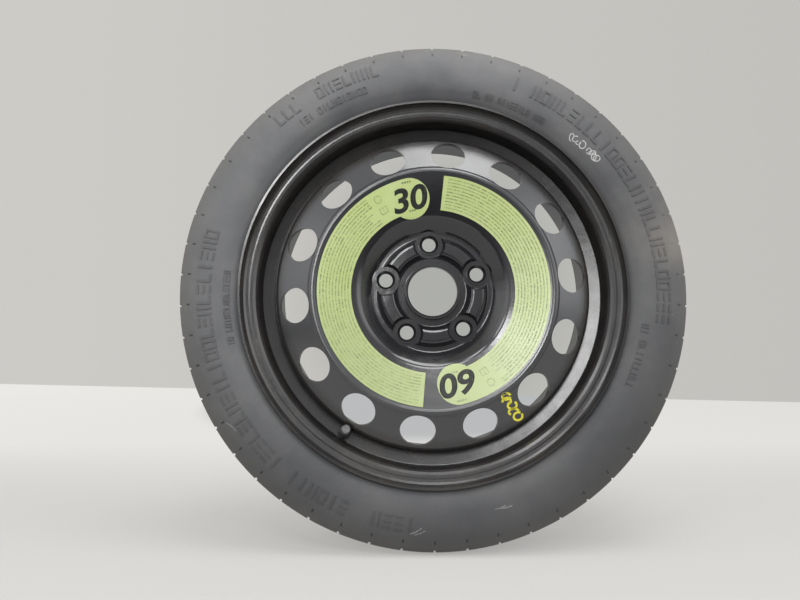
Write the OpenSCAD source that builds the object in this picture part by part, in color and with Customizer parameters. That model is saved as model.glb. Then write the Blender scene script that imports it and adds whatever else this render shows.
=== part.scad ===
// Space saver spare wheel: a narrow pressed-steel wheel with its own high-pressure tyre.
// Every piece is drawn with the wheel's axis along Z and its outer face looking up.
// stand() then turns it so that the axis lies along Y and the outer face looks towards -Y.
// The origin is the middle of the rim's width, on the axis. All sizes are in millimetres.

/* [Tyre] */
// Outside diameter over the tread
tyre_d = 581.4; // [574:0.2:590]
// Width across the two sidewalls
section_w = 126; // [120:0.5:132]
// Width of the tread band
tread_w = 101; // [95:0.5:107]
// How much lower the tread's edges lie than its middle
crown_drop = 3.4; // [1.5:0.1:5]
// Radius of the tyre's shoulder
shoulder_arc = 7; // [4:0.5:9]
// Height at which the sidewall's bulge starts, as a share of the sidewall's height
bulge_low = 0.25; // [0.2:0.01:0.35]
// Height at which the sidewall's bulge ends, as a share of the sidewall's height
bulge_high = 0.69; // [0.55:0.01:0.75]
// Thickness of the sidewall
sidewall_t = 7; // [5:0.5:8.5]
// Thickness of the tread with the belts under it
crown_t = 13; // [11:0.5:15]
// Width of the bead's base on the rim
bead_base = 16.5; // [14:0.5:17.5]
// Gap between the bead and the rim's seat
seat_gap = 0.1; // [0.05:0.05:0.3]
// Number of grooves around the tread
groove_count = 3; // [1:1:3]
// Distance between neighbouring grooves
groove_step = 21; // [16:0.5:23]
// Width of a groove
groove_w = 6; // [4:0.5:8]
// Depth of a groove
groove_depth = 4.5; // [3:0.1:6]
// Number of cross slots in each shoulder
slot_count = 50; // [40:1:60]
// Width of a cross slot
slot_w = 3; // [2:0.1:4]
// Depth of a cross slot below the tread's edge
slot_depth = 4; // [3:0.1:5]
// Length of a cross slot, from the tread's edge inwards
slot_len = 16; // [10:0.5:18]

/* [Rim] */
// Bead seat diameter at the flange
bead_d = 405.6; // [403:0.1:408]
// Width between the flanges
rim_w = 88.9; // [86:0.1:92]
// Height of the flange above the bead seat
flange_h = 17.3; // [16:0.1:18.5]
// Radius of the curl of the flange
flange_arc = 9.5; // [8.5:0.1:10.5]
// Width of the curl, from the flange's wall to its lip
lip_w = 13; // [11.5:0.1:14.5]
// Thickness of the rim's sheet
rim_t = 2.4; // [2:0.1:2.8]
// Radius of the heel between the bead seat and the flange
heel_arc = 6.5; // [5:0.1:7]
// Taper of the bead seat, in degrees
seat_taper = 5; // [4:0.5:6]
// Width of the bead seat, from the flange to the foot of the hump
seat_w = 17.6; // [17:0.1:18.5]
// Height of the hump above the seat's foot
hump_h = 1.4; // [0.8:0.1:2]
// Distance from the hump's foot to its top
hump_run = 3.6; // [3:0.1:4.5]
// Depth of the well below the bead seat
well_depth = 18.2; // [17.3:0.1:19.5]
// Distance of the well's front edge from the middle
well_front = 13.4; // [12:0.1:15]
// Distance of the well's back edge from the middle
well_back = 12; // [10:0.1:14]
// Lean of the well's front wall, in degrees
wall_tilt = 16; // [12:0.5:18]
// Lean of the well's back wall, in degrees
back_tilt = 25; // [18:0.5:30]

/* [Disc] */
// Distance of the mounting face outwards from the middle of the rim
mount_z = 25.5; // [20:0.5:30]
// Thickness of the disc's sheet
disc_t = 3.5; // [3:0.1:4]
// Centre bore
bore_d = 57.1; // [54:0.1:60]
// Height of the collar round the bore, above the mounting face
collar_h = 13; // [11:0.5:15]
// Lead-in at the mouth of the collar
collar_lead = 1.5; // [0.5:0.1:2]
// Width of the flat ring round the collar
inner_ring_w = 8.5; // [7:0.5:10]
// Height of the raised ridge between the bolts
ridge_h = 6.5; // [4:0.1:8]
// Width of the ridge's top
ridge_w = 13; // [10:0.5:15]
// Width of one slope of the ridge
ridge_slope_w = 5.5; // [4.5:0.1:7]
// Width of the flat ring outside the ridge
outer_ring_w = 5.5; // [4:0.5:8]
// Width of the steep step up from the hub to the label band
step_w = 15.5; // [13:0.5:18]
// Height of that step
step_h = 15.5; // [12:0.5:18]
// Slope of the label band, in degrees
band_slope = 16.6; // [12:0.2:20]
// Radius at which the label band ends
band_end = 133; // [132:0.5:136]
// Width from the end of the label band to the crest
crest_w = 4; // [3:0.5:6]
// Height of the crest above the end of the label band
crest_h = 2; // [1:0.1:3]
// Slope of the ring of vents, in degrees
vent_slope = 26.5; // [22:0.5:30]
// Radius of the bend at the disc's outer edge
edge_arc = 8; // [6:0.5:10]
// Distance of the disc's back edge inwards from the middle of the rim
disc_back = 6; // [2:0.5:8]
// Gap between the disc and the rim
disc_gap = 0.05; // [0.05:0.05:0.2]

/* [Bolt holes] */
// Number of bolt holes
bolt_count = 5; // [4:1:6]
// Bolt circle diameter
bolt_circle = 112; // [108:1:116]
// Bolt hole diameter
bolt_hole_d = 16; // [14.5:0.1:17]
// Radius of the ball seat for the bolt's head
ball_r = 13; // [12:0.5:14]
// Straight land left below the ball seat
ball_land = 2; // [1.5:0.1:2.5]
// Height of the raised ring round the hole, above the pocket's floor
boss_h = 1.7; // [1:0.1:2]
// Width of the flat top of that ring
boss_rim = 1.4; // [1:0.1:2]
// Radius of the pocket's floor
pocket_r = 16; // [15:0.1:17]
// Lean of the pocket's wall, in degrees
pocket_lean = 25; // [20:0.5:30]
// Clock angle of the first bolt hole, in degrees
bolt_clock = -3.8; // [-10:0.1:10]

/* [Vents] */
// Number of vents
vent_count = 14; // [10:1:15]
// Vent diameter
vent_d = 40; // [36:0.5:42]
// Diameter of the circle through the vents' centres
vent_circle = 317; // [314:1:320]
// Clock angle of the first vent, in degrees
vent_clock = 6.56; // [0:0.1:25]

/* [Labels] */
// Inner radius of a label
label_in = 93.5; // [90:0.5:98]
// Outer radius of a label
label_out = 131; // [125:0.5:131.5]
// Radius of a label's round end
label_round_r = 22.5; // [20:0.5:24]
// Clock angle of the right label's square end, in degrees
label_from = 5.5; // [0:0.5:10]
// Clock angle of the middle of its round end, in degrees
label_to = 166; // [160:0.5:168]
// Thickness of a label
label_t = 0.2; // [0.15:0.05:0.4]
// Thickness of the glue under a label
glue_t = 0.03; // [0.02:0.01:0.05]

/* [Welds] */
// Number of welds between the disc and the rim
weld_count = 8; // [6:1:10]
// Angle that one weld covers, in degrees
weld_angle = 22; // [15:1:30]
// Leg of a weld
weld_leg = 3; // [2:0.1:3.5]

/* [Valve] */
// Clock angle of the valve, in degrees
valve_clock = 212.2; // [180:0.1:240]
// Valve hole diameter
valve_hole_d = 11.3; // [11:0.1:11.8]
// Diameter of the flat pressed round the valve hole
valve_flat_d = 17; // [16.5:0.1:18]
// Diameter of the rubber body at its shoulder
body_d = 15.2; // [14:0.1:16]
// Diameter of the rubber body at its tip
body_tip_d = 9.6; // [9.2:0.1:10]
// Length of the rubber body outside the rim
body_len = 23; // [20:0.5:26]
// Length of the rubber head inside the rim
head_len = 5; // [4:0.1:6]
// Diameter of the brass stem where the cap screws on
stem_d = 7.7; // [7.4:0.1:7.9]
// Length of the stem that stands out of the rubber
stem_out = 10; // [8:0.5:11]
// Diameter of the stem inside the rubber
stem_root_d = 6.6; // [6.3:0.1:7]
// Diameter of the chamber that holds the core
chamber_d = 5.3; // [5.1:0.1:5.5]
// Diameter of the air passage below the chamber
passage_d = 4.4; // [4:0.1:4.6]
// Length of the core's barrel
core_len = 10.5; // [9:0.5:12]
// Depth of the barrel's top below the stem's top
core_sink = 1.5; // [1:0.1:2]
// Gap between the core's barrel and the chamber
core_gap = 0.1; // [0.05:0.05:0.15]
// Diameter of the core's pin
pin_d = 1; // [0.8:0.1:1.2]
// Gap round the pin in the barrel's end
pin_gap = 0.08; // [0.05:0.01:0.1]
// How far the pin stands out of the barrel and can be pressed in
pin_travel = 1.3; // [1:0.1:1.4]
// Wire diameter of the core's spring
wire_d = 0.3; // [0.25:0.05:0.35]
// Turns of the core's spring
spring_turns = 5; // [4:1:7]
// Outside diameter of the cap
cap_d = 10; // [9.6:0.1:10.6]
// Length of the cap
cap_len = 11.5; // [11:0.1:12.5]
// Gap between the cap and the stem
cap_gap = 0.15; // [0.1:0.05:0.25]
// Gap between the cap's mouth and the rubber
cap_stop = 0.3; // [0.2:0.1:0.5]
// Number of grip ribs round the cap
cap_ribs = 18; // [12:1:24]

/* [Hidden] */
$fn = 96;
bend_steps = 4;
curve_steps = 5;
over = 1;

tyre_r = tyre_d / 2;
bead_r = bead_d / 2;
flange_r = bead_r + flange_h;
half_w = rim_w / 2;
well_r = bead_r - well_depth;
well_in_r = well_r - rim_t;

// One corner of a bent line becomes an arc that touches both of its sides.
function unit(v) = v / norm(v);
function wrapped(a) = a > 180 ? a - 360 : a < -180 ? a + 360 : a;
function bend(a, p, b, r) =
    let (u = unit(a - p), v = unit(b - p), half = acos(u * v) / 2,
         c = p + unit(u + v) * r / sin(half),
         s = p + u * r / tan(half) - c,
         e = p + v * r / tan(half) - c,
         from = atan2(s[1], s[0]),
         sweep = wrapped(atan2(e[1], e[0]) - from))
    [for (i = [0 : bend_steps]) c + r * [cos(from + sweep * i / bend_steps),
                                         sin(from + sweep * i / bend_steps)]];
function flat(p) = [p[0], p[1]];

// A smooth curve that bends towards each corner and runs through the middles between them.
function pull(a, p, b) = [for (i = [0 : curve_steps]) let (s = i / curve_steps)
    (1 - s) * (1 - s) * a + 2 * s * (1 - s) * p + s * s * b];
function curved(corners) =
    [for (i = [1 : len(corners) - 2])
        each pull((corners[i - 1] + corners[i]) / 2, corners[i], (corners[i] + corners[i + 1]) / 2)];

// Corners are [radius, z, bend radius]. A corner with no third number stays sharp.
function bent(corners) =
    [for (i = [0 : len(corners) - 1])
        each (len(corners[i]) < 3 ? [flat(corners[i])]
              : bend(flat(corners[i - 1]), flat(corners[i]), flat(corners[i + 1]),
                     corners[i][2]))];
function left_of(a, b) = unit([a[1] - b[1], b[0] - a[0]]);
function shifted(path, d) =
    [for (i = [0 : len(path) - 1])
        let (last = len(path) - 1,
             m = left_of(path[max(i - 1, 0)], path[max(i, 1)]),
             n = left_of(path[min(i, last - 1)], path[min(i + 1, last)]))
        path[i] + d * (m + n) / (1 + m * n)];
function backwards(path) = [for (i = [len(path) - 1 : -1 : 0]) path[i]];
function other_side(path) = [for (p = backwards(path)) [p[0], -p[1], each (len(p) < 3 ? [] : [p[2]])]];
function sheet(path, t) = concat(path, backwards(shifted(path, -t)));

module stand() rotate([90, 0, 0]) children();
module at_clock(angle) rotate([0, 0, -angle]) children();
module ring(points) rotate_extrude($fn = 180) polygon(points);

// Rim: the side that the tyre sits on, from the outer lip to the inner one.
seat_foot_z = half_w - seat_w;
seat_foot_r = bead_r - seat_w * tan(seat_taper);
hump_r = seat_foot_r + hump_h;
hump_z = seat_foot_z - hump_run;
hump_fall = 0.6 * hump_h;
wall_top_r = hump_r - hump_fall;
wall_rise = wall_top_r - well_r;
hump_arc = 3;
wall_top_arc = 3.5;
well_arc = 3;
back_wall_share = 0.8;
seat_corners = [[flange_r, half_w + lip_w], [flange_r, half_w, flange_arc],
                [bead_r, half_w, heel_arc], [seat_foot_r, seat_foot_z]];
hump_corners = [[seat_foot_r, seat_foot_z, hump_arc], [hump_r, hump_z, hump_arc]];
seat_path = bent(seat_corners);
rim_corners = concat(
    [for (i = [0 : 2]) seat_corners[i]],
    hump_corners,
    [[wall_top_r, well_front + wall_rise * tan(wall_tilt), wall_top_arc],
     [well_r, well_front, well_arc],
     [well_r, -well_back, 2 * well_arc],
     [wall_top_r, -well_back - wall_rise * tan(back_tilt) * back_wall_share, 2 * wall_top_arc]],
    other_side(hump_corners),
    other_side([for (i = [0 : 2]) seat_corners[i]]));

// The valve stands square on the well's front wall, halfway up it.
valve_r = well_r + wall_rise / 2 - rim_t * sin(wall_tilt);
valve_z = well_front + wall_rise / 2 * tan(wall_tilt) + rim_t * cos(wall_tilt);
module at_valve() at_clock(valve_clock) translate([0, valve_r, valve_z])
    rotate([wall_tilt, 0, 0]) children();

// Disc: the front of the sheet, from the collar's mouth to the back edge.
bore_r = bore_d / 2;
front_z = mount_z + disc_t;
collar_r = bore_r + disc_t;
ring_end = collar_r + inner_ring_w;
ridge_z = front_z + ridge_h;
ridge_from = ring_end + ridge_slope_w;
ridge_to = ridge_from + ridge_w;
groove_from = ridge_to + ridge_slope_w;
groove_to = groove_from + outer_ring_w;
band_from = groove_to + step_w;
band_from_z = front_z + step_h;
band_end_z = band_from_z + (band_end - band_from) * tan(band_slope);
crest_r = band_end + crest_w;
crest_z = band_end_z + crest_h;
disc_r = well_in_r - disc_gap;
crest_fall_w = 5;
crest_fall = 4;
shoulder_r = crest_r + crest_fall_w;
shoulder_z = crest_z - crest_fall;
edge_z = shoulder_z - (disc_r - shoulder_r) * tan(vent_slope);
foot_arc = 3;
crown_arc = disc_t + 1.5;
step_arc = 14;
disc_front = bent([
    [collar_r, mount_z + collar_h],
    [collar_r, front_z, 1],
    [ring_end, front_z, foot_arc],
    [ridge_from, ridge_z, crown_arc],
    [ridge_to, ridge_z, crown_arc],
    [groove_from, front_z, foot_arc],
    [groove_to, front_z, foot_arc],
    [band_from, band_from_z, step_arc],
    [band_end, band_end_z, foot_arc],
    [crest_r, crest_z, crown_arc],
    [shoulder_r, shoulder_z, foot_arc],
    [disc_r, edge_z, edge_arc],
    [disc_r, -disc_back]]);
disc_hub_front = [for (p = disc_front) if (p[0] < band_from) p];
disc_band_front = [for (p = disc_front) if (p[0] > groove_to + step_w / 3 && p[0] < crest_r - 1) p];

// Bolt pockets: cups pressed back to the mounting face.
bolt_r = bolt_circle / 2;
pocket_top = ridge_h + over;
pocket_skin = disc_t / cos(pocket_lean);
ball_z = mount_z + ball_land + sqrt(pow(ball_r, 2) - pow(bolt_hole_d / 2, 2));
boss_z = front_z + boss_h;
boss_r = sqrt(pow(ball_r, 2) - pow(ball_z - boss_z, 2)) + boss_rim;
module each_bolt() for (i = [0 : bolt_count - 1])
    at_clock(bolt_clock + i * 360 / bolt_count) translate([0, bolt_r, 0]) children();
module pocket_hollow() translate([0, 0, front_z])
    cylinder(r1 = pocket_r, r2 = pocket_r + pocket_top * tan(pocket_lean), h = pocket_top);
module pocket_cup() translate([0, 0, mount_z])
    cylinder(r1 = pocket_r + pocket_skin - disc_t * tan(pocket_lean),
             r2 = pocket_r + pocket_skin + pocket_top * tan(pocket_lean),
             h = disc_t + pocket_top);

module each_vent() for (i = [0 : vent_count - 1])
    at_clock(vent_clock + i * 360 / vent_count)
        translate([0, vent_circle / 2, shoulder_z - (vent_circle / 2 - shoulder_r) * tan(vent_slope)])
            rotate([-vent_slope, 0, 0]) children();

// Tyre: half of its section, on the outer side. The sidewall's bulge lies between the
// flange and the tread's edge, and the air space between the flange and the crown.
edge_r = tyre_r - crown_drop;
half_tread = tread_w / 2;
half_section = section_w / 2;
inner_half = half_section - sidewall_t;
cavity_r = tyre_r - crown_t;
toe_z = half_w - bead_base;
crown_steps = 5;
crown_points = [for (i = [0 : crown_steps - 1]) let (s = i / crown_steps)
    [tyre_r - crown_drop * s * s, half_tread * s]];
edge = [edge_r, half_tread];
function bulge(low, high, share, z) = [low + (high - low) * share, z];
bulge_top = bulge(flange_r, edge_r, bulge_high, half_section);
bulge_foot = bulge(flange_r, edge_r, bulge_low, half_section);
flange_rest_gap = 2.2;
flange_cover = flange_arc - 1;
flange_rest = [flange_r + flange_rest_gap, half_w + flange_cover];
flange_rest_arc = 2;
bead_line = shifted(seat_path, seat_gap);
toe = [bead_r - bead_base * tan(seat_taper) + seat_gap, toe_z];
toe_h = 5;
toe_lean = 1;
toe_arc = 3;
toe_top = toe + [toe_h, -toe_lean];
cavity_foot = [flange_r + 2, half_w - 2];
belt_inset = 10;
tyre_outside = concat(
    crown_points,
    bend(crown_points[crown_steps - 1], edge, bulge_top, shoulder_arc),
    curved([edge, bulge_top, bulge_foot, flange_rest]),
    bend(bulge_foot, flange_rest, flat(bead_line[3]), flange_rest_arc),
    [for (i = [3 : len(bead_line) - 2]) bead_line[i]],
    [toe]);
tyre_inside = concat(
    bend(toe, toe_top, cavity_foot, toe_arc),
    curved([toe_top,
            cavity_foot,
            bulge(cavity_foot[0], cavity_r, bulge_low, inner_half),
            bulge(cavity_foot[0], cavity_r, bulge_high, inner_half),
            [cavity_r, half_tread - belt_inset],
            [cavity_r, 0]]),
    [[cavity_r, 0]]);
tyre_half = concat(tyre_outside, tyre_inside);
tyre_section = concat([for (i = [0 : len(tyre_half) - 2]) tyre_half[i]],
                      [for (p = other_side(tyre_half)) if (p[1] < 0) p]);

module tyre_slots() linear_extrude(slot_len + over)
    for (i = [0 : slot_count - 1]) rotate(i * 360 / slot_count)
        translate([edge_r - slot_depth, -slot_w / 2]) square([slot_depth + crown_drop + over, slot_w]);

module tyre() color("#303133") stand() difference() {
    ring(tyre_section);
    for (i = [0 : groove_count - 1])
        translate([0, 0, (i - (groove_count - 1) / 2) * groove_step - groove_w / 2])
            difference() {
                cylinder(r = tyre_r + over, h = groove_w, $fn = 180);
                translate([0, 0, -over])
                    cylinder(r = tyre_r - groove_depth, h = groove_w + 2 * over, $fn = 180);
            }
    translate([0, 0, half_tread - slot_len]) tyre_slots();
    translate([0, 0, -half_tread - over]) tyre_slots();
}

module rim() color("#1d1e20") stand() difference() {
    union() {
        difference() {
            ring(sheet(bent(rim_corners), rim_t));
            at_valve() cylinder(d = valve_flat_d, h = rim_t);
            at_valve() translate([0, 0, -2 * rim_t]) cylinder(d = valve_flat_d, h = rim_t);
        }
        at_valve() translate([0, 0, -rim_t]) cylinder(d = valve_flat_d, h = rim_t);
    }
    at_valve() translate([0, 0, -2 * rim_t]) cylinder(d = valve_hole_d, h = 3 * rim_t);
}

module disc() color("#242528") stand() difference() {
    union() {
        difference() {
            ring(sheet(disc_front, disc_t));
            each_bolt() pocket_hollow();
        }
        intersection() {
            ring(concat(disc_hub_front, [[band_from, mount_z], [collar_r, mount_z]]));
            each_bolt() difference() {
                pocket_cup();
                pocket_hollow();
            }
        }
        each_bolt() translate([0, 0, mount_z]) cylinder(r = boss_r, h = disc_t + boss_h);
    }
    each_bolt() {
        translate([0, 0, mount_z - over]) cylinder(d = bolt_hole_d, h = disc_t + boss_h + 2 * over);
        translate([0, 0, ball_z]) sphere(r = ball_r);
    }
    each_vent() translate([0, 0, -3 * disc_t]) cylinder(d = vent_d, h = 6 * disc_t);
    translate([0, 0, mount_z + collar_h - collar_lead])
        cylinder(r1 = bore_r, r2 = bore_r + collar_lead * 1.2, h = collar_lead * 1.2);
}

module disc_welds() color("#3a3b3d") stand() for (i = [0 : weld_count - 1])
    at_clock((i + 0.5) * 360 / weld_count)
        rotate_extrude(angle = weld_angle, $fn = 180)
            polygon([[well_in_r, -disc_back], [well_in_r - weld_leg, -disc_back],
                     [well_in_r, -disc_back - weld_leg]]);

// A label is a thin skin on the disc's band, cut to a half ring with one round end.
module label_outline() {
    round_at = label_out - label_round_r;
    intersection() {
        difference() {
            circle(r = label_out, $fn = 180);
            circle(r = label_in, $fn = 180);
        }
        polygon([[0, 0], for (i = [0 : 4]) let (a = 90 - label_from - (label_to - label_from) * i / 4)
            2 * label_out * [cos(a), sin(a)]]);
    }
    rotate(90 - label_to) translate([round_at, 0]) circle(r = label_round_r);
}
module label(turn) stand() rotate(turn) intersection() {
    ring(concat(shifted(disc_band_front, glue_t),
                backwards(shifted(disc_band_front, glue_t + label_t))));
    linear_extrude(2 * crest_z) label_outline();
}
module label_right() color("#cddb85") label(0);
module label_left() color("#cddb85") label(180);

// Valve: drawn on its own axis, with z = 0 on the outer side of the rim's wall.
stem_top = body_len + stem_out;
core_top = stem_top - core_sink;
core_foot = core_top - core_len;
barrel_r = chamber_d / 2 - core_gap;
cell_r = barrel_r - 0.6;
cell_foot = core_foot + 3;
pin_r = pin_d / 2;
collar_t = 0.8;
pin_collar_z = core_top - collar_t - 0.6;
seal_t = 2;
seal_gap = 0.05;
seal_foot = core_foot - seal_t - seal_gap;
pin_tail = 6;
tip_bevel = 0.6;
base_h = 2.2;
waist_z = 9;
waist_r = body_tip_d / 2 + 1.3;
cap_bevel = 1;
rib_r = 0.5;
rib_foot = 1.5;

module valve_body() color("#26272a") stand() at_valve() difference() {
    union() {
        rotate_extrude() polygon(bent([
            [0, 0], [body_d / 2, 0], [body_d / 2, base_h, 1.5], [waist_r, waist_z, 8],
            [body_tip_d / 2, body_len - tip_bevel, 2], [body_tip_d / 2 - tip_bevel, body_len],
            [0, body_len]]));
        translate([0, 0, -rim_t - over]) cylinder(d = valve_hole_d, h = rim_t + 2 * over);
        translate([0, 0, -rim_t]) mirror([0, 0, 1])
            cylinder(r1 = valve_flat_d / 2 - tip_bevel, r2 = valve_hole_d / 2 - tip_bevel, h = head_len);
    }
    translate([0, 0, -rim_t - head_len - over])
        cylinder(d = stem_root_d, h = rim_t + head_len + body_len + 2 * over);
}

module valve_stem() color("#b08d45") stand() at_valve() difference() {
    union() {
        translate([0, 0, -rim_t - head_len + 1]) cylinder(d = stem_root_d, h = rim_t + head_len + body_len);
        translate([0, 0, body_len]) cylinder(d = stem_d, h = stem_out - tip_bevel);
        translate([0, 0, stem_top - tip_bevel])
            cylinder(d1 = stem_d, d2 = stem_d - 2 * tip_bevel, h = tip_bevel);
    }
    translate([0, 0, -rim_t - head_len]) cylinder(d = passage_d, h = stem_top + rim_t + head_len);
    translate([0, 0, core_foot]) cylinder(d = chamber_d, h = core_len + core_sink + over);
}

module valve_core_barrel() color("#c9b277") stand() at_valve() difference() {
    translate([0, 0, core_foot]) cylinder(r = barrel_r, h = core_len);
    translate([0, 0, core_foot - over]) cylinder(r = pin_r + pin_gap, h = core_len);
    translate([0, 0, cell_foot]) cylinder(r = cell_r, h = core_len);
}

module valve_core_pin() color("#d8d4c8") stand() at_valve() {
    translate([0, 0, seal_foot - pin_tail])
        cylinder(r = pin_r, h = core_top + pin_travel - seal_foot + pin_tail);
    translate([0, 0, pin_collar_z]) cylinder(r = cell_r - 0.15, h = collar_t);
}

module valve_core_seal() color("#5a2d22") stand() at_valve() difference() {
    translate([0, 0, seal_foot]) cylinder(r = passage_d / 2 - 0.35, h = seal_t);
    translate([0, 0, seal_foot - over]) cylinder(r = pin_r, h = seal_t + 2 * over);
}

// The spring's wire is swept round the pin, between the barrel's floor and the pin's collar.
spring_foot = cell_foot + wire_d / 2 + 0.05;
spring_rise = pin_collar_z - cell_foot - wire_d - 0.1;
spring_r = (pin_r + cell_r) / 2;
wire_sides = 6;
turn_steps = 16;
spring_steps = spring_turns * turn_steps;
spring_points = [for (i = [0 : spring_steps], k = [0 : wire_sides - 1])
    let (a = 360 * i / turn_steps, b = 360 * k / wire_sides,
         r = spring_r + wire_d / 2 * cos(b))
    [r * cos(a), r * sin(a), spring_foot + spring_rise * i / spring_steps + wire_d / 2 * sin(b)]];
spring_faces = concat(
    [for (i = [0 : spring_steps - 1], k = [0 : wire_sides - 1])
        let (m = (k + 1) % wire_sides, j = i * wire_sides)
        each [[j + k, j + wire_sides + k, j + m], [j + m, j + wire_sides + k, j + wire_sides + m]]],
    [[for (k = [0 : wire_sides - 1]) k]],
    [[for (k = [wire_sides - 1 : -1 : 0]) spring_steps * wire_sides + k]]);
module valve_core_spring() color("#9fa3a8") stand() at_valve()
    polyhedron(spring_points, spring_faces);

cap_foot = body_len + cap_stop;
module valve_cap() color("#2c2d30") stand() at_valve() difference() {
    union() {
        translate([0, 0, cap_foot]) cylinder(d = cap_d, h = cap_len - cap_bevel);
        translate([0, 0, cap_foot + cap_len - cap_bevel])
            cylinder(d1 = cap_d, d2 = cap_d - 2 * cap_bevel, h = cap_bevel);
    }
    translate([0, 0, cap_foot - over]) cylinder(r = stem_d / 2 + cap_gap, h = stem_out + over);
    for (i = [0 : cap_ribs - 1]) rotate(i * 360 / cap_ribs)
        translate([cap_d / 2 + 0.2, 0, cap_foot + rib_foot]) cylinder(r = rib_r, h = cap_len);
}

tyre();
rim();
disc();
disc_welds();
label_right();
label_left();
valve_body();
valve_stem();
valve_core_barrel();
valve_core_pin();
valve_core_seal();
valve_core_spring();
valve_cap();
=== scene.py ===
import math
import random

import bmesh
import bpy
from mathutils import Matrix, Vector
from mathutils.bvhtree import BVHTree


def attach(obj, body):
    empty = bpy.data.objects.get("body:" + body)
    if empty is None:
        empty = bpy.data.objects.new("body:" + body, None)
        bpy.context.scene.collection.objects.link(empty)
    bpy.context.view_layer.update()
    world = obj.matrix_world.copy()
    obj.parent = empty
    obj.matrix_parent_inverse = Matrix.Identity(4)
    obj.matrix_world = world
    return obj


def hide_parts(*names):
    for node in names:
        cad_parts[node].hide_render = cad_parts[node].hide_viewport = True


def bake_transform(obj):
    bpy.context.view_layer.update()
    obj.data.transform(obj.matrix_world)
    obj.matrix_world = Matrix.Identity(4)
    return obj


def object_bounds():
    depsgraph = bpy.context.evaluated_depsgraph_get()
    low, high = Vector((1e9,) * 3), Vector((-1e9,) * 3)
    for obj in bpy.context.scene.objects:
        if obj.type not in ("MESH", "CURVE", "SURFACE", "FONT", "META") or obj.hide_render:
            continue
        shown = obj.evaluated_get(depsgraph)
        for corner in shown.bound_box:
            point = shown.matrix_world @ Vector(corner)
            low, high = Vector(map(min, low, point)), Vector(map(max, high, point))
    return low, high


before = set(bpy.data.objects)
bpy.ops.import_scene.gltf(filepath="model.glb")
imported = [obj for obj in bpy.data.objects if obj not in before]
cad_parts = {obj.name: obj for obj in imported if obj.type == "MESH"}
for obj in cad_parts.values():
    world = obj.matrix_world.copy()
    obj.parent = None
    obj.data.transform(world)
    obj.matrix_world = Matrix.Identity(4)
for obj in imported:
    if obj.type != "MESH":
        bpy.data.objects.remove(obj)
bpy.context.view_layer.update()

# Camera: it stands close to the wheel and a little below and left of its middle,
# so the lens is wide and the far side of every ring shows more of its wall.
camera_place = Vector((-0.039, -0.7255, -0.078))
camera_pitch = math.radians(5.64)
camera_yaw = math.radians(-0.107)
camera_data = bpy.data.cameras.new("camera")
camera_data.sensor_width = 36
camera_data.lens = 27
camera_data.clip_start = 0.05
camera = bpy.data.objects.new("camera", camera_data)
camera.location = camera_place
camera.rotation_euler = (math.pi / 2 + camera_pitch, 0, camera_yaw)
bpy.context.scene.collection.objects.link(camera)
bpy.context.scene.camera = camera
bpy.context.scene.view_settings.view_transform = "Standard"

# Floor and wall: a pale table top under the tread and a pale grey wall well behind it.
# The camera and the glossy paint see their plain colours, and near the tread the floor
# keeps the shadow. A painted shadow darkens the floor and the wall behind the wheel, and
# painted light makes both a little brighter at the left than at the right. A band says
# where a change starts and ends, and its value at each end.
floor_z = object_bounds()[0][2]
wall_left = (-10, 7.2)
wall_right = (5, 1.03)
wall_height = 8
table_front = -0.6
sheet_roughness = 0.9
floor_colour = (0.8, 0.785, 0.76, 1)
floor_lit = (0.46, 0.452, 0.44, 1)
floor_plain_band = (0.05, 0.9, 0.45, 1)
# floor_shade is a painted shadow on the floor behind the wheel, seen through the lower vents.
floor_shade = (0.5, 0.51, 0.515, 1)
floor_shade_middle = (0, 3, floor_z)
floor_shade_stretch = (2.15, 1, 1)
floor_shade_band = (1.95, 2.3, 0, 1)
wall_colour = (0.585, 0.572, 0.545, 1)
wall_plain_band = (0, 1, 0, 1)
# wall_shade is a painted shadow on the wall behind the wheel, seen through the bore and the vents.
wall_shade = (0.425, 0.432, 0.408, 1)
wall_shade_middle = (0.19, 3.02, 0.35)
wall_shade_stretch = (1, 1, 1)
wall_shade_band = (0.35, 1.35, 0, 1)
# Painted light: the floor and the wall are a little brighter at the left and darker at the right.
painted_light_left_to_right_band = (-2.6, 2.6, 1.04, 0.92)


def new_material(name):
    material = bpy.data.materials.new(name)
    material.use_nodes = True
    nodes = material.node_tree.nodes
    return material, nodes, material.node_tree.links, nodes["Principled BSDF"]


def math_node(nodes, links, operation, *values):
    node = nodes.new("ShaderNodeMath")
    node.operation = operation
    for value, socket in zip(values, node.inputs):
        if isinstance(value, (int, float)):
            socket.default_value = value
        else:
            links.new(value, socket)
    return node.outputs[0]


def between(nodes, links, value, band, curve="SMOOTHSTEP"):
    node = nodes.new("ShaderNodeMapRange")
    node.interpolation_type = curve
    for socket, number in zip(("From Min", "From Max", "To Min", "To Max"), band):
        node.inputs[socket].default_value = number
    links.new(value, node.inputs["Value"])
    return node.outputs["Result"]


def object_axes(nodes, links):
    axes = nodes.new("ShaderNodeSeparateXYZ")
    links.new(nodes.new("ShaderNodeTexCoord").outputs["Object"], axes.inputs[0])
    return axes.outputs


def distance_from(nodes, links, middle, stretch=(1, 1, 1)):
    away = nodes.new("ShaderNodeVectorMath")
    away.operation = "SUBTRACT"
    away.inputs[1].default_value = middle
    links.new(nodes.new("ShaderNodeTexCoord").outputs["Object"], away.inputs[0])
    stretched = nodes.new("ShaderNodeVectorMath")
    stretched.operation = "MULTIPLY"
    stretched.inputs[1].default_value = stretch
    links.new(away.outputs["Vector"], stretched.inputs[0])
    length = nodes.new("ShaderNodeVectorMath")
    length.operation = "LENGTH"
    links.new(stretched.outputs["Vector"], length.inputs[0])
    return length.outputs["Value"]


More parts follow.
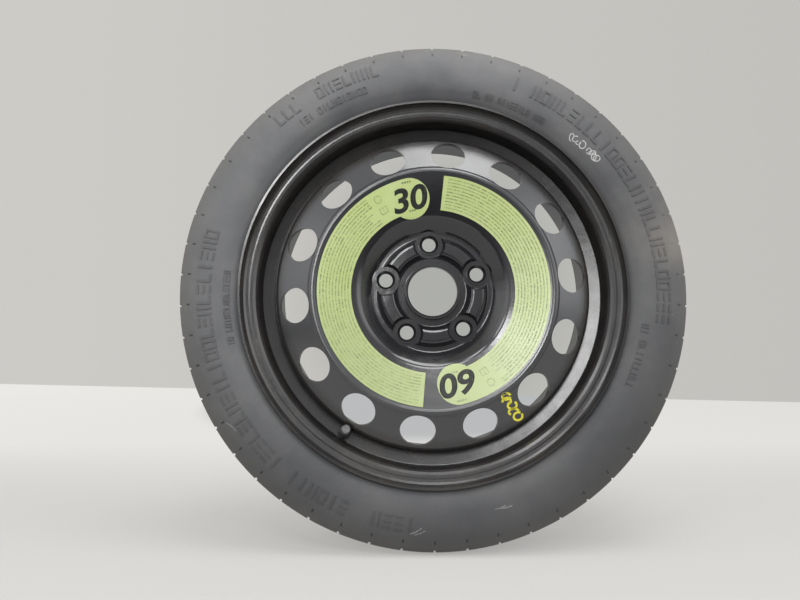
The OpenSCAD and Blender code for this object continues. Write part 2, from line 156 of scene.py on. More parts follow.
def blend_colour(nodes, links, factor, first, second):
    node = nodes.new("ShaderNodeMix")
    node.data_type = "RGBA"
    links.new(factor, node.inputs["Factor"])
    for value, socket in ((first, node.inputs[6]), (second, node.inputs[7])):
        if isinstance(value, tuple):
            socket.default_value = value
        else:
            links.new(value, socket)
    return node.outputs[2]


def toned(nodes, links, colour, painted_light_tone):
    scaled = nodes.new("ShaderNodeVectorMath")
    scaled.operation = "SCALE"
    links.new(colour, scaled.inputs[0])
    links.new(painted_light_tone, scaled.inputs["Scale"])
    return scaled.outputs["Vector"]


def seen_plain(nodes, links, shader, colour, share):
    glow = nodes.new("ShaderNodeEmission")
    links.new(colour, glow.inputs["Color"])
    rays = nodes.new("ShaderNodeLightPath").outputs
    mirrored = math_node(nodes, links, "MAXIMUM", rays["Is Glossy Ray"], rays["Is Transmission Ray"])
    seen = math_node(nodes, links, "MAXIMUM", rays["Is Camera Ray"], mirrored)
    mix = nodes.new("ShaderNodeMixShader")
    links.new(math_node(nodes, links, "MULTIPLY", seen, share), mix.inputs["Fac"])
    links.new(shader.outputs["BSDF"], mix.inputs[1])
    links.new(glow.outputs["Emission"], mix.inputs[2])
    links.new(mix.outputs["Shader"], nodes["Material Output"].inputs["Surface"])


# The plain colour of a sheet: the painted shadow mixed in round its middle, then painted light falling off
# from left to right.
def sheet_colour(nodes, links, colour, shade, middle, stretch, shade_band):
    share = between(nodes, links, distance_from(nodes, links, middle, stretch), shade_band)
    painted_light_tone = between(nodes, links, object_axes(nodes, links)["X"], painted_light_left_to_right_band, "LINEAR")
    return toned(nodes, links, blend_colour(nodes, links, share, shade, colour), painted_light_tone)


def sheet(name, corners, lit_colour, plain_band, colours):
    bm = bmesh.new()
    bm.faces.new([bm.verts.new(corner) for corner in corners])
    mesh = bpy.data.meshes.new(name)
    bm.to_mesh(mesh)
    bm.free()
    obj = bpy.data.objects.new(name, mesh)
    bpy.context.scene.collection.objects.link(obj)
    material, nodes, links, shader = new_material(name)
    shader.inputs["Base Color"].default_value = lit_colour
    shader.inputs["Roughness"].default_value = sheet_roughness
    share = between(nodes, links, object_axes(nodes, links)["Y"], plain_band)
    seen_plain(nodes, links, shader, sheet_colour(nodes, links, *colours), share)
    mesh.materials.append(material)


sheet("floor", ((wall_left[0], table_front, floor_z), (wall_right[0], table_front, floor_z),
                (*wall_right, floor_z), (*wall_left, floor_z)), floor_lit, floor_plain_band,
      (floor_colour, floor_shade, floor_shade_middle, floor_shade_stretch, floor_shade_band))
sheet("wall", ((*wall_left, floor_z), (*wall_right, floor_z),
               (*wall_right, wall_height), (*wall_left, wall_height)), wall_colour, wall_plain_band,
      (wall_colour, wall_shade, wall_shade_middle, wall_shade_stretch, wall_shade_band))

# Lamps: windows in front, above and up to the left, which draw the bright bands on the
# paint, and a soft light from the ceiling. The room glows at both sides, less in front,
# and is dark below the table. A lamp has its place, its width and height, and its power.
lamps = {
    "window": ((-0.44, -2.4, 0.6), (0.54, 0.85), 15),
    "upper window": ((0.1, -2.4, 1.85), (1.2, 0.7), 19),
    "left window": ((-1.2, -1.6, 1), (0.4, 0.4), 2.5),
    "roof window": ((-0.7, -1.6, 1.5), (0.4, 0.4), 3.5),
    "glare pane": ((-0.78, -2.4, 0.78), (0.3, 0.3), 4),
    "ceiling lamp": ((0.3, -0.6, 1.6), (1.1, 0.8), 18),
}
room_tint = (0.98, 0.985, 1, 1)
sky_band = (-0.2, 0.8, 0.08, 0.7)
front_band = (-0.2, -0.9, 0, 0.72)
front_height_band = (0.25, 0.55, 1, 0.35)
front_right_band = (-0.15, 0.05, 1, 0.5)
side_band = (0.5, 0.85, 0, 1.8)
side_front_band = (0.1, -0.25, 0, 1)
side_right_band = (-0.5, 0.5, 0.7, 1.15)
above_table_band = (-0.25, 0.15, 0, 1)


def room_strength(nodes, links):
    way = nodes.new("ShaderNodeSeparateXYZ")
    links.new(nodes.new("ShaderNodeTexCoord").outputs["Generated"], way.inputs[0])
    across, along, up = way.outputs
    front = math_node(nodes, links, "MULTIPLY", between(nodes, links, along, front_band),
                      between(nodes, links, up, front_height_band))
    front = math_node(nodes, links, "MULTIPLY", front, between(nodes, links, across, front_right_band))
    sideways = math_node(nodes, links, "ABSOLUTE", across)
    sides = math_node(nodes, links, "MULTIPLY", between(nodes, links, sideways, side_band),
                      between(nodes, links, along, side_front_band))
    sides = math_node(nodes, links, "MULTIPLY", sides, between(nodes, links, across, side_right_band))
    room = math_node(nodes, links, "MULTIPLY", math_node(nodes, links, "ADD", front, sides),
                     between(nodes, links, up, above_table_band))
    return math_node(nodes, links, "ADD", between(nodes, links, up, sky_band), room)


def light_room():
    world = bpy.data.worlds.new("room light")
    world.use_nodes = True
    nodes, links = world.node_tree.nodes, world.node_tree.links
    room = nodes["Background"]
    room.inputs["Color"].default_value = room_tint
    links.new(room_strength(nodes, links), room.inputs["Strength"])
    plain = nodes.new("ShaderNodeBackground")
    plain.inputs["Color"].default_value = wall_colour
    mix = nodes.new("ShaderNodeMixShader")
    links.new(nodes.new("ShaderNodeLightPath").outputs["Is Camera Ray"], mix.inputs["Fac"])
    links.new(room.outputs["Background"], mix.inputs[1])
    links.new(plain.outputs["Background"], mix.inputs[2])
    links.new(mix.outputs["Shader"], nodes["World Output"].inputs["Surface"])
    bpy.context.scene.world = world


def hang_lamp(name, place, size, power):
    data = bpy.data.lights.new(name, "AREA")
    data.shape = "RECTANGLE"
    data.size, data.size_y = size
    data.energy = power
    lamp = bpy.data.objects.new(name, data)
    lamp.location = place
    lamp.rotation_euler = (-Vector(place)).to_track_quat("-Z", "Y").to_euler()
    bpy.context.scene.collection.objects.link(lamp)


light_room()
for name, (place, size, power) in lamps.items():
    hang_lamp(name, place, size, power)

# Rim: one rolled and pressed sheet with a curled flange at each edge, two bead seats and
# a well between them. It is dipped in paint with the disc after welding, so one glossy
# black coat covers every side, with grey dust and a slightly uneven shine.
paint_black = (0.012, 0.012, 0.0135, 1)
paint_dust = (0.042, 0.043, 0.045, 1)
well_brown = (0.05, 0.043, 0.032, 1)
dust_band = (0.1, 0.14, 0.1, 0.6)
dusty_from_hub_band = (0.1, 0.14, 0.2, 1)
dusty_to_well_band = (0.165, 0.18, 1, 0)
well_band = (0.165, 0.18, 0, 0.5)
rough_band = (0.075, 0.12, 0.05, 0.13)
cloud_dust = 0.4
uneven_rough = 0.16


def noise(nodes, links, scale, detail, rough):
    texture = nodes.new("ShaderNodeTexNoise")
    texture.inputs["Scale"].default_value = scale
    texture.inputs["Detail"].default_value = detail
    texture.inputs["Roughness"].default_value = rough
    links.new(nodes.new("ShaderNodeTexCoord").outputs["Object"], texture.inputs["Vector"])
    return texture.outputs["Fac"]


def ramp(nodes, links, source, low, high):
    node = nodes.new("ShaderNodeValToRGB")
    dark, light = node.color_ramp.elements
    dark.position = low
    light.position = high
    links.new(source, node.inputs["Fac"])
    return node.outputs["Color"]


def bump(nodes, links, source, strength, distance, shader, under=None):
    node = nodes.new("ShaderNodeBump")
    node.inputs["Strength"].default_value = strength
    node.inputs["Distance"].default_value = distance
    links.new(source, node.inputs["Height"])
    if under is not None:
        links.new(under.outputs["Normal"], node.inputs["Normal"])
    links.new(node.outputs["Normal"], shader.inputs["Normal"])
    return node


def axle_distance(nodes, links):
    return distance_from(nodes, links, (0, 0, 0), stretch=(1, 0, 1))


def make_paint():
    material, nodes, links, shader = new_material("black_paint")
    reach = axle_distance(nodes, links)
    clouds = ramp(nodes, links, noise(nodes, links, scale=9, detail=8, rough=0.65), low=0.3, high=0.75)
    share = math_node(nodes, links, "MULTIPLY_ADD", clouds, cloud_dust,
                      between(nodes, links, reach, dust_band))
    on_disc = math_node(nodes, links, "MULTIPLY", between(nodes, links, reach, dusty_from_hub_band),
                        between(nodes, links, reach, dusty_to_well_band))
    dust = math_node(nodes, links, "MULTIPLY", share, on_disc)
    settled = blend_colour(nodes, links, dust, paint_black, paint_dust)
    in_well = math_node(nodes, links, "MULTIPLY", clouds, between(nodes, links, reach, well_band))
    links.new(blend_colour(nodes, links, in_well, settled, well_brown), shader.inputs["Base Color"])
    uneven = noise(nodes, links, scale=40, detail=6, rough=0.7)
    roughness = math_node(nodes, links, "MULTIPLY_ADD", uneven, uneven_rough,
                          between(nodes, links, reach, rough_band))
    links.new(roughness, shader.inputs["Roughness"])
    shader.inputs["Specular IOR Level"].default_value = 0.75
    peel = noise(nodes, links, scale=260, detail=3, rough=0.5)
    wave = noise(nodes, links, scale=22, detail=3, rough=0.5)
    fine = bump(nodes, links, peel, 0.06, 0.0004, shader)
    bump(nodes, links, wave, 0.2, 0.002, shader, fine)
    return material


def finish_node(name, material):
    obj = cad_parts[name]
    obj.data.materials.clear()
    obj.data.materials.append(material)
    return obj


paint = make_paint()
finish_node("rim", paint)

# Disc: a single pressing from the hub's collar to the flange that is welded in the well,
# with five bolt pockets and fourteen punched vents. Eight weld beads hold it in the rim,
# and the same black paint covers them.
disc = finish_node("disc", paint)
finish_node("disc_welds", paint)

# Tyre: one moulded piece of black rubber. Its tread has three ring grooves and fifty
# cross slots in each shoulder; the beads lie on the rim's seats behind the flanges.
# Its shape is given in millimetres, and the bands of its colours in metres.
mm = 0.001
tyre_r = 290.7
crown_drop = 3.4
half_tread = 50.5
half_section = 63
flange_r = 220.1
half_rim = 44.45
bead_r = 202.8
seat_gap = 0.1
crown_t = 13
sidewall_t = 7
bulge_low = 0.25
bulge_high = 0.69
slot_count = 50
slot_w = 3
slot_depth = 4
slot_len = 16
steps_between_slots = 5
groove_step = 21
groove_w = 6
groove_depth = 4.5
groove_lip = 0.5
rib_points = ((0.15, 8), (0.3, 13))
crown_places = (28, 31, half_tread - slot_len, 38, 41.5, 44)
shoulder_from = 45
shoulder_drop = 0.8 * crown_drop
shoulder_round = 7
rest_out = 2.2
rest_side = 8.5
rest_round = 2
heel_in = 1.6
heel_side = 4.4
bead_back = 6
heel_round = 9.4
toe_round = 6.5
toe_in = 1.3
bead_w = 16.5
cavity_foot_out = 2
cavity_foot_in = 2
cavity_bead_out = 4
cavity_bead_in = 17.5
cavity_shoulder_in = 10
rubber_bare = (0.092, 0.094, 0.1, 1)
rubber_dust = (0.15, 0.15, 0.151, 1)
rubber_brown = (0.112, 0.107, 0.098, 1)
rubber_scuff = (0.3, 0.27, 0.235, 1)
# Painted shade: short dark ticks in a thin ring on the shoulder, one for each tread slot, stand for the
# shade in narrow slits.
painted_slit_shade = (0.02, 0.02, 0.02, 1)
brown_band = (0.25, 0.3, 0, 0.8)
scuffed_band = (0.255, 0.278, 0, 0.55)
tick_band = (0.02, 0.035, 1, 0)
tick_inner_band = (0.272, 0.273, 0, 1)
tick_outer_band = (0.2765, 0.2775, 1, 0)
stain_middle = (0.272, -0.05, 0.075)
stain_band = (0.02, 0.075, 0.6, 0)
# Painted shade: the rubber is darker towards the bottom and towards the right, where less light falls.
painted_shade_height_band = (-0.24, 0.03, 0.47, 0.88)
painted_shade_right_band = (0.08, 0.24, 1, 0.72)


def rounded(corners, steps):
    line = []
    for i, corner in enumerate(corners):
        here = Vector(corner[:2])
        if len(corner) < 3:
            line.append(here)
            continue
        back = (Vector(corners[i - 1][:2]) - here).normalized()
        ahead = (Vector(corners[i + 1][:2]) - here).normalized()
        half = back.angle(ahead) / 2
        centre = here + (back + ahead).normalized() * corner[2] / math.sin(half)
        start = here + back * corner[2] / math.tan(half) - centre
        end = here + ahead * corner[2] / math.tan(half) - centre
        sweep = -start.angle_signed(end)
        for k in range(steps + 1):
            line.append(centre + Matrix.Rotation(sweep * k / steps, 2) @ start)
    return line


def pulled(corners, steps):
    line = []
    for i in range(1, len(corners) - 1):
        corner = Vector(corners[i])
        start = (Vector(corners[i - 1]) + corner) / 2
        end = (corner + Vector(corners[i + 1])) / 2
        for k in range(steps + 1):
            share = k / steps
            line.append((1 - share) ** 2 * start + 2 * share * (1 - share) * corner + share ** 2 * end)
    return line


def crown_r(z):
    return tyre_r - crown_drop * (z / half_tread) ** 2


def bulge(low, high, share, z):
    return (low + (high - low) * share, z)


def tread_line():
    lip = groove_lip
    for middle in (0, groove_step):
        near, far = middle - groove_w / 2, middle + groove_w / 2
        top = crown_r(middle)
        floor = tyre_r - groove_depth
        cut = [[top, near - lip], [top - lip, near], [floor + lip, near + lip], [floor, near + 2 * lip],
               [floor, far - 2 * lip], [floor + lip, far - lip], [top - lip, far], [top, far + lip]]
        if middle == 0:
            line = [[floor, 0]] + cut[4:]
        else:
            line += [[tyre_r - drop, z] for drop, z in rib_points] + cut
    return line + [[crown_r(z), z] for z in crown_places]


def tyre_line():
    edge = (tyre_r - crown_drop, half_tread)
    bulge_top = bulge(flange_r, edge[0], bulge_high, half_section)
    bulge_foot = bulge(flange_r, edge[0], bulge_low, half_section)
    flange_rest = (flange_r + rest_out, half_rim + rest_side)
    shoulder_start = (tyre_r - shoulder_drop, shoulder_from)
    shoulder = rounded([shoulder_start, (*edge, shoulder_round), bulge_top], 6)[:-1]
    side = pulled([edge, bulge_top, bulge_foot, flange_rest], 10)
    heel = (flange_r - heel_in, half_rim + heel_side)
    rest = rounded([bulge_foot, (*flange_rest, rest_round), heel], 3)[1:]
    bead = rounded([
        [flange_r + seat_gap, half_rim + bead_back],
        [flange_r + seat_gap, half_rim - seat_gap, heel_round],
        [bead_r + seat_gap, half_rim - seat_gap, toe_round],
        [bead_r - toe_in, half_rim - bead_w]], 4)[3:]
    cavity_r = tyre_r - crown_t
    cavity_foot = (flange_r + cavity_foot_out, half_rim - cavity_foot_in)
    inner_half = half_section - sidewall_t
    inside = pulled([
        (bead_r + cavity_bead_out, half_rim - cavity_bead_in),
        cavity_foot,
        bulge(cavity_foot[0], cavity_r, bulge_low, inner_half),
        bulge(cavity_foot[0], cavity_r, bulge_high, inner_half),
        (cavity_r, half_tread - cavity_shoulder_in),
        (cavity_r, 0)], 3) + [Vector((cavity_r, 0))]
    return [Vector(p) for p in tread_line()] + shoulder + side + rest + bead + inside


def spun_tyre():
    half = tyre_line()
    ring = half + [Vector((p[0], -p[1])) for p in reversed(half) if p[1] > 0.001]
    bm = bmesh.new()
    verts = [bm.verts.new((0, -p[1] * mm, p[0] * mm)) for p in ring]
    edges = [bm.edges.new((verts[i], verts[(i + 1) % len(verts)])) for i in range(len(verts))]
    pitch = 2 * math.pi / slot_count
    slot_angle = slot_w / tyre_r
    bmesh.ops.rotate(bm, cent=(0, 0, 0), matrix=Matrix.Rotation(-slot_angle / 2, 3, "Y"), verts=verts)
    spun = bmesh.ops.spin(bm, geom=verts + edges, cent=(0, 0, 0), axis=(0, 1, 0), angle=slot_angle, steps=1)
    bm.faces.ensure_lookup_table()
    slot_floor = tyre_r - crown_drop - slot_depth
    slot_faces = []
    for face in bm.faces:
        middle = face.calc_center_median()
        reach = math.hypot(middle.x, middle.z) / mm
        if abs(middle.y) / mm > half_tread - slot_len and reach > slot_floor:
            slot_faces.append(face)
    bmesh.ops.spin(bm, geom=spun["geom_last"], cent=(0, 0, 0), axis=(0, 1, 0),
                   angle=pitch - slot_angle, steps=steps_between_slots)
    pushed = bmesh.ops.extrude_face_region(bm, geom=slot_faces)["geom"]
    bmesh.ops.delete(bm, geom=slot_faces, context="FACES_ONLY")
    for v in pushed:
        if isinstance(v, bmesh.types.BMVert):
            scale = min(1, slot_floor * mm / math.hypot(v.co.x, v.co.z))
            v.co.x *= scale
            v.co.z *= scale
    sector = list(bm.verts) + list(bm.edges) + list(bm.faces)
    for i in range(1, slot_count):
        copy = bmesh.ops.duplicate(bm, geom=sector)["geom"]
        bmesh.ops.rotate(bm, cent=(0, 0, 0), matrix=Matrix.Rotation(i * pitch, 3, "Y"),
                         verts=[g for g in copy if isinstance(g, bmesh.types.BMVert)])
    bmesh.ops.remove_doubles(bm, verts=bm.verts, dist=2e-5)
    bmesh.ops.recalc_face_normals(bm, faces=bm.faces)
    return bm


def piece(name, bm, material, body, smooth=0):
    mesh = bpy.data.meshes.new(name)
    bm.to_mesh(mesh)
    bm.free()
    mesh.materials.append(material)
    obj = bpy.data.objects.new(name, mesh)
    bpy.context.scene.collection.objects.link(obj)
    if smooth:
        mesh.shade_smooth()
        mesh.set_sharp_from_angle(angle=math.radians(smooth))
    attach(obj, body)
    return obj


def dusty_rubber(nodes, links, reach, clouds):
    colour = blend_colour(nodes, links, clouds, rubber_bare, rubber_dust)
    colour = blend_colour(nodes, links, between(nodes, links, reach, brown_band), colour, rubber_brown)
    rubs = ramp(nodes, links, noise(nodes, links, scale=26, detail=10, rough=0.75), low=0.62, high=0.74)
    scuffed = math_node(nodes, links, "MULTIPLY", rubs, between(nodes, links, reach, scuffed_band))
    colour = blend_colour(nodes, links, scuffed, colour, rubber_scuff)
    away = distance_from(nodes, links, stain_middle)
    stain = math_node(nodes, links, "MULTIPLY", between(nodes, links, away, stain_band), clouds)
    return colour, stain


# Painted shade of narrow slits: a mask of short ticks, one at each slot's turn, in a thin ring.
def painted_slit_ticks(nodes, links, reach, place):
    turn = math_node(nodes, links, "ARCTAN2", place["X"], place["Z"])
    slots = math_node(nodes, links, "MULTIPLY", turn, slot_count / (2 * math.pi))
    off_tick = math_node(nodes, links, "PINGPONG", slots, 0.5)
    ring = math_node(nodes, links, "MULTIPLY", between(nodes, links, reach, tick_inner_band),
                     between(nodes, links, reach, tick_outer_band))
    return math_node(nodes, links, "MULTIPLY", between(nodes, links, off_tick, tick_band), ring)


def make_rubber(name, painted_light_tone):
    material, nodes, links, shader = new_material(name)
    reach = axle_distance(nodes, links)
    place = object_axes(nodes, links)
    clouds = ramp(nodes, links, noise(nodes, links, scale=11, detail=9, rough=0.62), low=0.35, high=0.68)
    colour, stain = dusty_rubber(nodes, links, reach, clouds)
    colour = blend_colour(nodes, links, painted_slit_ticks(nodes, links, reach, place), colour, painted_slit_shade)
    colour = blend_colour(nodes, links, stain, colour, rubber_scuff)
    # Painted shade, darker towards the bottom and the right, scaled by the tone given.
    low, high, below, above = painted_shade_height_band
    painted_shade = math_node(nodes, links, "MULTIPLY",
                      between(nodes, links, place["Z"], (low, high, below * painted_light_tone, above * painted_light_tone)),
                      between(nodes, links, place["X"], painted_shade_right_band))
    links.new(toned(nodes, links, colour, painted_shade), shader.inputs["Base Color"])
    shader.inputs["Roughness"].default_value = 0.62
    shader.inputs["Specular IOR Level"].default_value = 0.35
    shader.inputs["Sheen Weight"].default_value = 0.1
    grain = noise(nodes, links, scale=900, detail=3, rough=0.6)
    ripple = noise(nodes, links, scale=60, detail=4, rough=0.6)
    fine = bump(nodes, links, grain, 0.25, 0.0003, shader)
    bump(nodes, links, ripple, 0.25, 0.001, shader, fine)
    return material


tyre = piece("tyre_moulded", spun_tyre(), make_rubber("tyre_rubber", 1), "wheel", smooth=32)
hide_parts("tyre")

# Labels: two printed films stuck on the disc, each a half ring with one round end.
# The film is yellow-green, satin and a little faded, with grime in its fine rubs.
film_green = (0.335, 0.396, 0.151, 1)
film_faded = (0.378, 0.434, 0.219, 1)
film_grime = (0.3, 0.33, 0.17, 1)
# Painted light: the film is lighter towards the top and darker towards the bottom.
film_painted_light_band = (-0.11, 0.11, 0.86, 1.29)


def make_film():
    material, nodes, links, shader = new_material("label_film")
    wear = ramp(nodes, links, noise(nodes, links, scale=14, detail=8, rough=0.7), low=0.35, high=0.7)
    colour = blend_colour(nodes, links, wear, film_green, film_faded)
    rub = ramp(nodes, links, noise(nodes, links, scale=120, detail=10, rough=0.8), low=0.62, high=0.72)
    worn = blend_colour(nodes, links, rub, colour, film_grime)
    painted_light_tone = between(nodes, links, object_axes(nodes, links)["Z"], film_painted_light_band)
    links.new(toned(nodes, links, worn, painted_light_tone), shader.inputs["Base Color"])
    shader.inputs["Roughness"].default_value = 0.26
    ripple = noise(nodes, links, scale=30, detail=3, rough=0.5)
    bump(nodes, links, ripple, 0.15, 0.001, shader)
    return material


film = make_film()
finish_node("label_right", film)
finish_node("label_left", film)

# Print on the labels: ink that lies on the film, in rows of short dashes that follow the
# half ring, with a large leaning number upright to the wheel's rim in each round end.
# Beside the number stand an outlined square, a ring and short bars.
label_out = 131
label_round_r = 22.5
label_from = 5.5
label_to = 166
film_top = 0.26
ink_t = 0.04
drawing_y = -0.1
laying_from_y = -0.2
row_first = 97
row_last = 127.8
row_count = 10
row_start = 2.5
row_stop = 23
ragged_ends = (0, 0, 2, 5)
group_lengths = (1.5, 9)
dash_lengths = (0.4, 0.5, 0.7, 1)
dash_heights = (0.8, 1.2, 1.5, 1.8)
dash_gap = 0.22
group_gaps = (0.4, 0.6, 0.8, 1.6)
print_seed = 5
sign_back = 17.5
square_reach = 107.5
ring_reach = 121
sign_w = 4
sign_h = 3.5
line_w = 0.7
bar_rows = ((127, 4), (95.5, 3))
bar_step = 2.9
bar_w = 2.1
bar_h = 2.2
number_w = 42
number_h = 27
number_size = 33
number_lean = 0.18
number_weight = 0.9
number_cut = 2.5
ink_black = (0.012, 0.013, 0.012, 1)
ink_worn = (0.05, 0.06, 0.035, 1)
small_ink_dark = (0.1, 0.125, 0.045, 1)
small_ink_worn = (0.26, 0.31, 0.13, 1)


def surface_of(obj):
    bpy.context.view_layer.update()
    return BVHTree.FromObject(obj, bpy.context.evaluated_depsgraph_get())


def lay_on(bm, surface, lift):
    for v in bm.verts:
        start = Vector((v.co.x, laying_from_y, v.co.z))
        hit, normal, _, _ = surface.ray_cast(start, Vector((0, 1, 0)))
        if hit is not None:
            if normal.y > 0:
                normal = -normal
            v.co = hit + normal * lift * mm


def thicken(bm, thickness):
    bmesh.ops.recalc_face_normals(bm, faces=bm.faces)
    for face in bm.faces:
        if face.normal.y > 0:
            face.normal_flip()
    bmesh.ops.solidify(bm, geom=bm.faces[:], thickness=thickness * mm)


def clock_point(angle, reach):
    turn = math.radians(angle)
    return (reach * math.sin(turn) * mm, drawing_y, reach * math.cos(turn) * mm)


def ring_dash(bm, angle, reach, length, height):
    half = math.degrees(length / reach / 2)
    corners = [(angle - half, reach - height / 2), (angle - half, reach + height / 2),
               (angle + half, reach + height / 2), (angle + half, reach - height / 2)]
    bm.faces.new([bm.verts.new(clock_point(*c)) for c in corners])


def print_rows(bm, turn, seed):
    pen = random.Random(seed)
    for row in range(row_count):
        reach = row_first + (row_last - row_first) * row / (row_count - 1)
        angle = label_from + row_start
        end = label_to - row_stop - pen.choice(ragged_ends)
        while angle < end:
            group_end = angle + math.degrees(pen.uniform(*group_lengths) / reach)
            while angle < min(group_end, end):
                length = pen.choice(dash_lengths)
                angle += math.degrees(length / reach / 2)
                ring_dash(bm, turn + angle, reach, length, pen.choice(dash_heights))
                angle += math.degrees((length / 2 + dash_gap) / reach)
            angle += math.degrees(pen.choice(group_gaps) / reach)


def cut_fine(bm, step):
    for axis in ((1, 0, 0), (0, 0, 1)):
        reach = [v.co.dot(Vector(axis)) for v in bm.verts]
        cut = min(reach) + step * mm
        while cut < max(reach):
            bmesh.ops.bisect_plane(bm, geom=bm.verts[:] + bm.edges[:] + bm.faces[:],
                                   plane_co=Vector(axis) * cut, plane_no=axis)
            cut += step * mm


def stroke(bm, points, width):
    left, right = [], []
    for i, p in enumerate(points):
        ahead = points[min(i + 1, len(points) - 1)] - points[max(i - 1, 0)]
        side = Vector((-ahead.y, ahead.x)).normalized() * width / 2
        left.append(bm.verts.new(((p + side).x * mm, drawing_y, (p + side).y * mm)))
        right.append(bm.verts.new(((p - side).x * mm, drawing_y, (p - side).y * mm)))
    for i in range(len(points) - 1):
        bm.faces.new((left[i], left[i + 1], right[i + 1], right[i]))


def curl(middle, wide, high, start, sweep, steps=20):
    return [middle + Vector((wide * math.cos(math.radians(start + sweep * i / steps)),
                             high * math.sin(math.radians(start + sweep * i / steps))))
            for i in range(steps + 1)]


def small_shapes(bm, turn):
    angle = math.radians(turn + label_to - sign_back)
    out = Vector((math.sin(angle), math.cos(angle)))
    across = Vector((out.y, -out.x))
    square = ((-1, -1), (0, -1), (1, -1), (1, 1), (0, 1), (0, -1), (0, 1), (-1, 1), (-1, -1))
    stroke(bm, [out * (square_reach + sign_h * v) + across * sign_w * u for u, v in square], line_w)
    stroke(bm, curl(out * ring_reach, sign_w, sign_w, 0, 360), line_w)
    for reach, count in bar_rows:
        for i in range(count):
            angle = turn + label_to + math.degrees((i - (count - 1) / 2) * bar_step / reach)
            ring_dash(bm, angle, reach, bar_w, bar_h)


def number_mesh(digits, turn):
    curve = bpy.data.curves.new("number", "FONT")
    curve.body = digits
    curve.size = number_size * mm
    curve.shear = number_lean
    curve.offset = number_weight * mm
    curve.align_x = "CENTER"
    obj = bpy.data.objects.new("number", curve)
    bpy.context.scene.collection.objects.link(obj)
    bpy.context.view_layer.update()
    mesh = bpy.data.meshes.new_from_object(obj.evaluated_get(bpy.context.evaluated_depsgraph_get()))
    bpy.data.objects.remove(obj)
    bm = bmesh.new()
    bm.from_mesh(mesh)
    low = Vector([min(v.co[axis] for v in bm.verts) for axis in range(3)])
    high = Vector([max(v.co[axis] for v in bm.verts) for axis in range(3)])
    stretch = (number_w * mm / (high.x - low.x), number_h * mm / (high.y - low.y), 1)
    bmesh.ops.translate(bm, vec=-(low + high) / 2, verts=bm.verts)
    bmesh.ops.scale(bm, vec=stretch, verts=bm.verts)
    bmesh.ops.rotate(bm, cent=(0, 0, 0), matrix=Matrix.Rotation(math.pi / 2, 3, "X"), verts=bm.verts)
    bmesh.ops.translate(bm, vec=(0, 0, (label_out - label_round_r) * mm), verts=bm.verts)
    bmesh.ops.rotate(bm, cent=(0, 0, 0), matrix=Matrix.Rotation(math.radians(turn), 3, "Y"), verts=bm.verts)
    cut_fine(bm, number_cut)
    return bm


def make_ink():
    material, nodes, links, shader = new_material("label_ink")
    wear = ramp(nodes, links, noise(nodes, links, scale=300, detail=6, rough=0.7), low=0.5, high=0.75)
    links.new(blend_colour(nodes, links, wear, ink_black, ink_worn), shader.inputs["Base Color"])
    shader.inputs["Roughness"].default_value = 0.5
    shader.inputs["Specular IOR Level"].default_value = 0.3
    return material


def make_small_print():
    material, nodes, links, shader = new_material("label_small_print")
    wear = ramp(nodes, links, noise(nodes, links, scale=90, detail=6, rough=0.7), low=0.35, high=0.65)
    links.new(blend_colour(nodes, links, wear, small_ink_dark, small_ink_worn), shader.inputs["Base Color"])
    shader.inputs["Roughness"].default_value = 0.4
    return material


disc_surface = surface_of(disc)
ink = make_ink()
small_ink = make_small_print()
for side, turn, digits in (("right", 0, "60"), ("left", 180, "30")):
    rows = bmesh.new()
    print_rows(rows, turn, print_seed + turn)
    small_shapes(rows, turn)
    lay_on(rows, disc_surface, film_top)
    thicken(rows, ink_t)
    piece("print_rows_" + side, rows, small_ink, "wheel")
    number = number_mesh(digits, label_to + turn)
    lay_on(number, disc_surface, film_top)
    thicken(number, ink_t)
    piece("number_" + side, number, ink, "wheel")

# Marker strokes: thick curls of yellow paint marker in a row on the disc, between two
# vents. They are only strokes, with no words.
marker_turn = math.radians(146.5)
marker_w = 2.5
marker_curls = ((143, 0.8, 5, 3.6, 20, 330), (148, -1.5, 4.8, 3.8, 200, -260),
                (155.5, 1.6, 5.2, 4.2, 100, 320), (163, -0.8, 5.8, 3.6, 10, 230),
                (170.5, 0.9, 5.2, 4.6, 60, 340))
marks_lift = 0.06
marks_t = 0.05
marker_yellow = (0.72, 0.66, 0.04, 1)
marker_thin = (0.5, 0.45, 0.05, 1)


def make_marker(name, colour, thin):
    material, nodes, links, shader = new_material(name)
    wear = ramp(nodes, links, noise(nodes, links, scale=500, detail=5, rough=0.7), low=0.4, high=0.7)
    links.new(blend_colour(nodes, links, wear, colour, thin), shader.inputs["Base Color"])
    shader.inputs["Roughness"].default_value = 0.55
    return material


def marker_strokes():
    bm = bmesh.new()
    out = Vector((math.sin(marker_turn), math.cos(marker_turn)))
    across = Vector((-out.y, out.x))
    for reach, shift, wide, high, start, sweep in marker_curls:
        stroke(bm, curl(out * reach + across * shift, wide, high, start, sweep), marker_w)
    return bm


marks = marker_strokes()
lay_on(marks, disc_surface, marks_lift)
thicken(marks, marks_t)
marker = make_marker("yellow_marker", marker_yellow, marker_thin)
piece("marker_strokes", marks, marker, "wheel")

# Chalk strokes: a small scribble of white chalk on the tyre's sidewall, in two groups of
# thin curls side by side. It spells nothing.
chalk_w = 1.1
chalk_places = ((236, 42.3), (237.5, 43.4), (236.5, 44.6), (238, 45.8),
                (238, 48.3), (239.5, 49.3), (238, 50.3), (239, 51.2))
chalk_pale = (0.5, 0.5, 0.48, 1)
chalk_thin = (0.2, 0.2, 0.2, 1)


def sidewall_point(reach, turn):
    return Vector((math.sin(math.radians(turn)), math.cos(math.radians(turn)))) * reach


